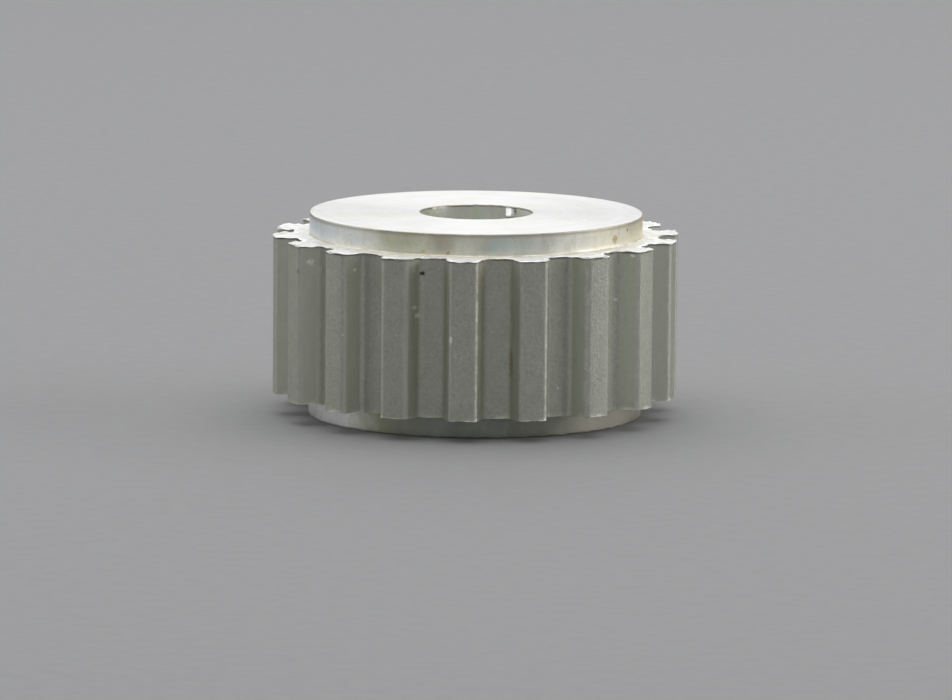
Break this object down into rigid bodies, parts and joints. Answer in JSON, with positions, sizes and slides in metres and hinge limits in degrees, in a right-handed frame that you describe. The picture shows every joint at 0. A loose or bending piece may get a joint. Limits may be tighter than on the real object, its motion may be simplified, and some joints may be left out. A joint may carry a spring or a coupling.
{
  "type": "timing belt pulley",
  "caption": "Flangeless toothed belt pulley turned from one aluminium bar, with a raised shoulder on each end, a plain through bore and radial grub screws in the tooth grooves.",
  "frame": {"origin": "centre of the lower end face, where the pulley stands", "axes": "+Z along the bore towards the upper end face; a tooth is centred on -Y"},
  "size_m": [0.0284, 0.0286, 0.0143],
  "materials": {
    "machined_aluminium": "fine-turned and milled aluminium, clear passivated, with slight staining",
    "black_steel": "hardened steel with black oxide"
  },
  "bodies": {
    "pulley": {"pulley_body": "machined_aluminium"},
    "screw_a": {"set_screw_a": "black_steel"},
    "screw_b": {"set_screw_b": "black_steel"}
  },
  "joints": [
    {"name": "screw_a_feed", "type": "slide", "parent": "pulley", "child": "screw_a", "axis": [0.5, 0.866, 0], "range_m": [-0.0008, 0.0032]},
    {"name": "screw_b_feed", "type": "slide", "parent": "pulley", "child": "screw_b", "axis": [-0.9397, 0.342, 0], "range_m": [-0.0008, 0.0032]}
  ]
}
